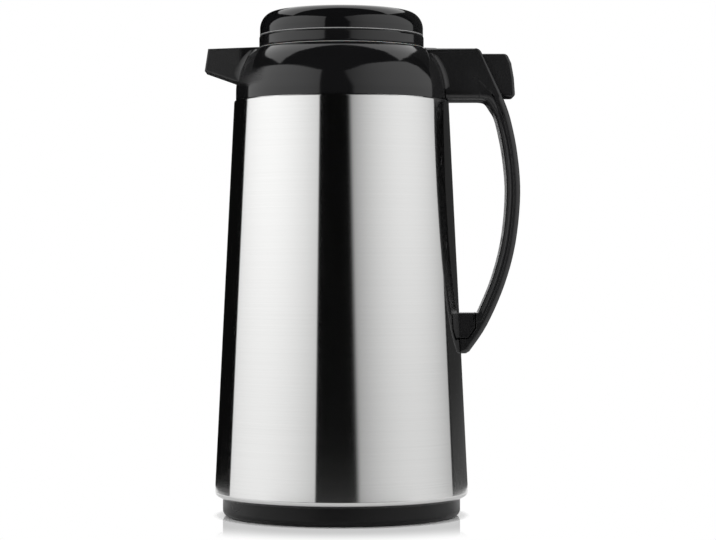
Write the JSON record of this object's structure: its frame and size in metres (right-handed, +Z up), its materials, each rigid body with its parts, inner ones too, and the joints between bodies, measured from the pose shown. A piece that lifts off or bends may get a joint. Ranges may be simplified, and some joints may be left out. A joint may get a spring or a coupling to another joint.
{
  "type": "vacuum carafe",
  "caption": "Tapered stainless vacuum carafe with a black collar and beak spout, domed flip lid, bow handle and a thumb lever that opens the pouring valve.",
  "frame": {"origin": "centre of the base ring's foot on the table", "axes": "+Z up along the body's axis, handle towards +X, spout towards -X"},
  "size_m": [0.1919, 0.1548, 0.3082],
  "materials": {
    "steel": "satin, finely brushed round the body",
    "plastic": "black moulding with a low, even sheen",
    "lid_gloss": "black moulding, smoother than the rest",
    "flask_glass": "silvered vacuum glass",
    "silicone": "soft, matte",
    "bright_metal": "plain bright steel"
  },
  "bodies": {
    "body": {"base_cap": "plastic", "base_ring": "plastic", "bracket_rivets": "bright_metal", "collar": "plastic", "cover_screws": "bright_metal", "foot_screw": "bright_metal", "handle": "plastic", "handle_foot_bracket": "plastic", "handle_grip_cover": "plastic", "handle_screws": "bright_metal", "lever_pin": "bright_metal", "lever_spring": "bright_metal", "lid_hinge_pin": "bright_metal", "liner_cushion": "silicone", "liner_inner_flask": "flask_glass", "liner_outer_flask": "flask_glass", "liner_shoulder_ring": "silicone", "liner_spacers": "silicone", "neck_gasket": "silicone", "outer_shell": "steel"},
    "lid": {"lid_cover": "lid_gloss", "lid_base": "plastic", "stopper_body": "plastic", "stopper_gasket": "silicone", "lid_screws": "bright_metal", "rocker_pin": "bright_metal", "valve_spring": "bright_metal"},
    "rocker": {"valve_rocker": "plastic"},
    "valve": {"valve_stem": "plastic", "valve_seal": "silicone"},
    "thumb_lever": {"thumb_lever": "plastic"}
  },
  "joints": [
    {"name": "lid_flip", "type": "hinge", "parent": "body", "child": "lid", "pos_m": [0.057, 0, 0.2826], "axis": [0, 1, 0], "range_deg": [0, 97]},
    {"name": "thumb_press", "type": "hinge", "parent": "body", "child": "thumb_lever", "pos_m": [0.072, 0, 0.27], "axis": [0, 1, 0], "range_deg": [0, 7], "stiffness_Nm_per_rad": 2, "springref_deg": -3.44, "deforming": ["lever_spring"]},
    {"name": "rocker_tilt", "type": "hinge", "parent": "lid", "child": "rocker", "pos_m": [0.022, 0, 0.2926], "axis": [0, 1, 0], "range_deg": [-9.2, 0]},
    {"name": "valve_drop", "type": "slide", "parent": "lid", "child": "valve", "axis": [0, 0, -1], "range_m": [0, 0.0042], "deforming": ["valve_spring"]}
  ],
  "couplings": [
    {"joint": "rocker_tilt", "follows": "thumb_press", "ratio": -1.3},
    {"joint": "valve_drop", "follows": "thumb_press", "m_per_rad": 0.033}
  ]
}
